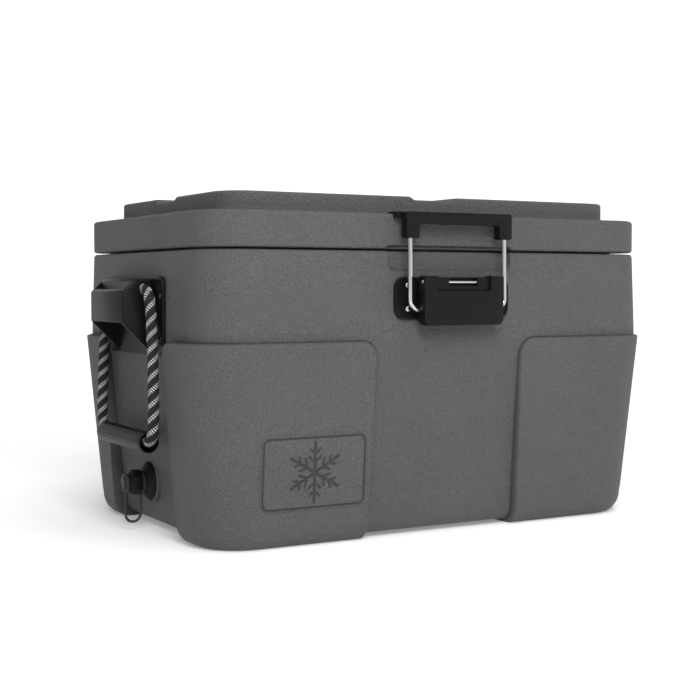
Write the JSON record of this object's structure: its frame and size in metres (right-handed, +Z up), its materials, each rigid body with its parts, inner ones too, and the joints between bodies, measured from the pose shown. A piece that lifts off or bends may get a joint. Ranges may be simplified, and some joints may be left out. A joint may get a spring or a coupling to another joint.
{
  "type": "chest cooler",
  "caption": "Insulated hard-sided chest cooler with hinged lid, front draw latch, rope handles with tube grips, corner-pad feet and a screw-cap drain.",
  "frame": {"origin": "middle of the cooler's bounding box at floor level, under the four corner pads", "axes": "+X along the length towards the right-hand handle, +Y towards the hinges at the back, +Z up; the latch faces -Y and the drain is on the -X end"},
  "size_m": [0.792, 0.52, 0.4525],
  "materials": {
    "shell_grey": "pebbled moulded polyethylene, satin",
    "liner_grey": "smooth moulded polyethylene",
    "foam": "rigid insulating foam",
    "black_nylon": "fine-textured moulded nylon",
    "black_rubber": "smooth rubber",
    "rope": "braided black rope with light grey fleck spirals",
    "stainless_steel": "polished stainless steel"
  },
  "bodies": {
    "tub": {"tub_shell": "shell_grey", "tub_foam": "foam", "tub_liner": "liner_grey", "latch_base": "black_nylon", "latch_pivot_pin": "stainless_steel", "latch_screw_a": "stainless_steel", "latch_screw_b": "stainless_steel", "latch_screw_c": "stainless_steel", "latch_screw_d": "stainless_steel", "left_hinge_tub_leaf": "black_nylon", "left_hinge_pin": "stainless_steel", "left_hinge_tub_screw_a": "stainless_steel", "left_hinge_tub_screw_b": "stainless_steel", "left_bracket": "black_nylon", "left_bracket_screw_a": "stainless_steel", "left_bracket_screw_b": "stainless_steel", "left_bracket_screw_c": "stainless_steel", "left_bracket_screw_d": "stainless_steel", "right_hinge_tub_leaf": "black_nylon", "right_hinge_pin": "stainless_steel", "right_hinge_tub_screw_a": "stainless_steel", "right_hinge_tub_screw_b": "stainless_steel", "right_bracket": "black_nylon", "right_bracket_screw_a": "stainless_steel", "right_bracket_screw_b": "stainless_steel", "right_bracket_screw_c": "stainless_steel", "right_bracket_screw_d": "stainless_steel", "drain_spout": "black_nylon", "drain_washer": "black_rubber", "drain_nut": "black_nylon"},
    "lid": {"lid_shell": "shell_grey", "lid_foam": "foam", "lid_pan": "liner_grey", "lid_gasket": "black_rubber", "lid_strike": "black_nylon", "left_hinge_lid_leaf": "black_nylon", "left_hinge_lid_screw_a": "stainless_steel", "left_hinge_lid_screw_b": "stainless_steel", "right_hinge_lid_leaf": "black_nylon", "right_hinge_lid_screw_a": "stainless_steel", "right_hinge_lid_screw_b": "stainless_steel"},
    "latch_lever": {"latch_lever": "black_nylon"},
    "latch_bail": {"latch_bail_wire": "stainless_steel", "latch_grip_bar": "black_nylon"},
    "left_handle": {"left_rope": "rope"},
    "right_handle": {"right_rope": "rope"},
    "left_grip": {"left_grip": "black_nylon"},
    "right_grip": {"right_grip": "black_nylon"},
    "drain_seal": {"drain_cap_seal": "black_rubber", "drain_lanyard": "black_rubber"},
    "drain_cap": {"drain_cap": "black_nylon"}
  },
  "joints": [
    {"name": "lid_hinge", "type": "hinge", "parent": "tub", "child": "lid", "pos_m": [0, 0.2525, 0.3796], "axis": [-1, 0, 0], "range_deg": [0, 105]},
    {"name": "lever_lift", "type": "hinge", "parent": "tub", "child": "latch_lever", "pos_m": [0, -0.2531, 0.338], "axis": [-1, 0, 0], "range_deg": [0, 150]},
    {"name": "bail_swing", "type": "hinge", "parent": "latch_lever", "child": "latch_bail", "pos_m": [0, -0.244, 0.302], "axis": [-1, 0, 0], "range_deg": [-187.5, 0]},
    {"name": "left_handle_swing", "type": "hinge", "parent": "tub", "child": "left_handle", "pos_m": [-0.3652, 0.0085, 0.329], "axis": [0, 1, 0], "range_deg": [0, 150]},
    {"name": "right_handle_swing", "type": "hinge", "parent": "tub", "child": "right_handle", "pos_m": [0.3652, 0.0085, 0.329], "axis": [0, -1, 0], "range_deg": [0, 150]},
    {"name": "left_grip_spin", "type": "hinge", "parent": "left_handle", "child": "left_grip", "pos_m": [-0.3682, 0.0085, 0.129], "axis": [0, 1, 0], "continuous": true},
    {"name": "right_grip_spin", "type": "hinge", "parent": "right_handle", "child": "right_grip", "pos_m": [0.3682, 0.0085, 0.129], "axis": [0, -1, 0], "continuous": true},
    {"name": "drain_seal_travel", "type": "slide", "parent": "tub", "child": "drain_seal", "axis": [-1, 0, 0], "range_m": [0, 0.006]},
    {"name": "drain_cap_turn", "type": "hinge", "parent": "drain_seal", "child": "drain_cap", "pos_m": [-0.33613, 0.0085, 0.066], "axis": [-1, 0, 0], "range_deg": [0, 720]}
  ],
  "couplings": [
    {"joint": "bail_swing", "follows": "lever_lift", "ratio": -1.25},
    {"joint": "drain_seal_travel", "follows": "drain_cap_turn", "m_per_rad": 0.00047746}
  ]
}
